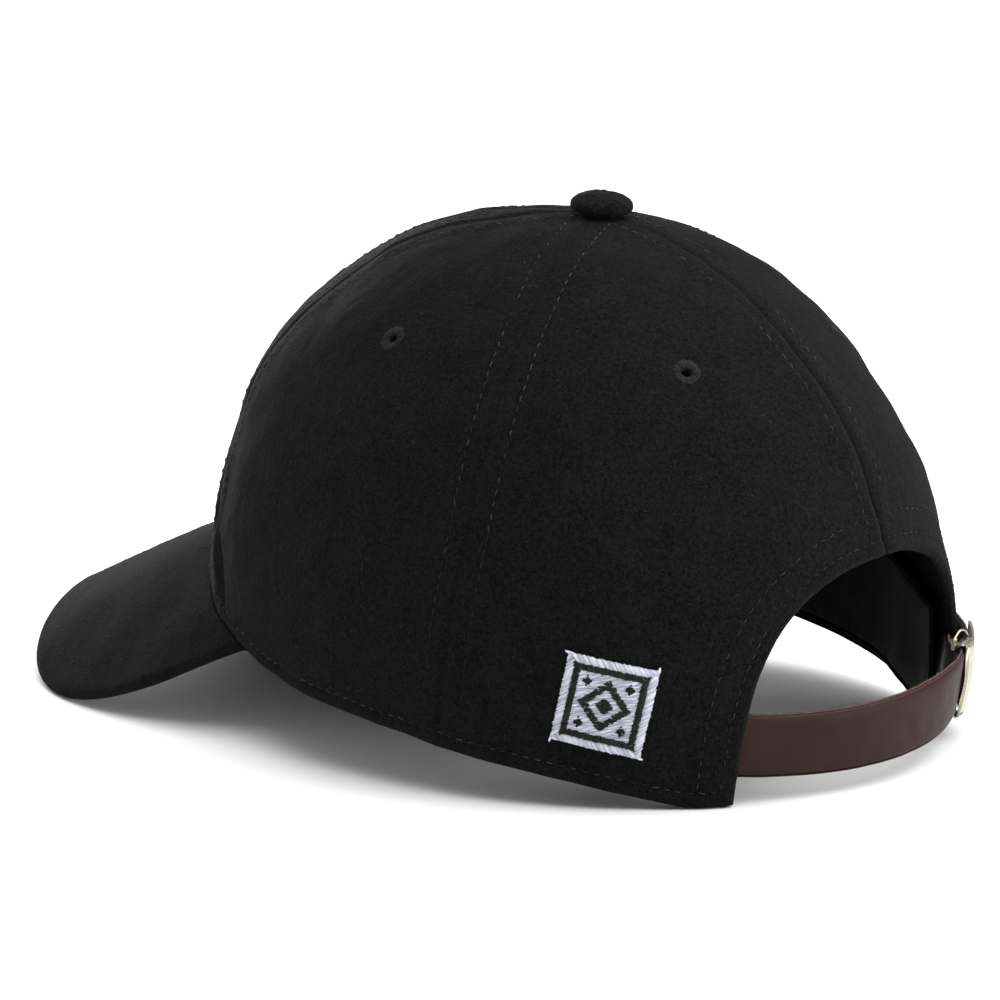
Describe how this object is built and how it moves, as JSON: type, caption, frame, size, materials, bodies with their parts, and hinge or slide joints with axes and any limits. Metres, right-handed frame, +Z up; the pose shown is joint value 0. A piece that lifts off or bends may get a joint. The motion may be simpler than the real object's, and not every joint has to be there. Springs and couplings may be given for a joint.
{
  "type": "wool baseball cap",
  "caption": "Wool baseball cap: panelled crown with top button and eyelets, curved bill, and an arched back opening closed by a leather strap with a metal clasp.",
  "frame": {"origin": "middle of the bounding box's base, on the surface that the cap rests on", "axes": "+Z up through the crown, bill towards -Y, strap towards +Y, +X to the wearer's left"},
  "size_m": [0.169, 0.255, 0.1377],
  "materials": {
    "wool": "napped melton",
    "eyelet_thread": "satin stitch",
    "cotton_twill": "plain twill",
    "leather": "smooth, semi-matte",
    "clasp_metal": "pale brushed plating",
    "embroidery": "satin stitch"
  },
  "bodies": {
    "root": {"front_left_panel": "wool", "front_right_panel": "wool", "side_left_panel": "wool", "side_right_panel": "wool", "back_left_panel": "wool", "back_right_panel": "wool", "front_left_eyelet": "eyelet_thread", "front_right_eyelet": "eyelet_thread", "side_left_eyelet": "eyelet_thread", "side_right_eyelet": "eyelet_thread", "back_left_eyelet": "eyelet_thread", "back_right_eyelet": "eyelet_thread", "top_button": "wool", "bill": "wool", "sweatband": "cotton_twill", "back_strap": "leather", "strap_tab": "leather", "clasp_body": "clasp_metal", "clasp_lever": "clasp_metal", "side_patch": "embroidery"}
  },
  "joints": []
}
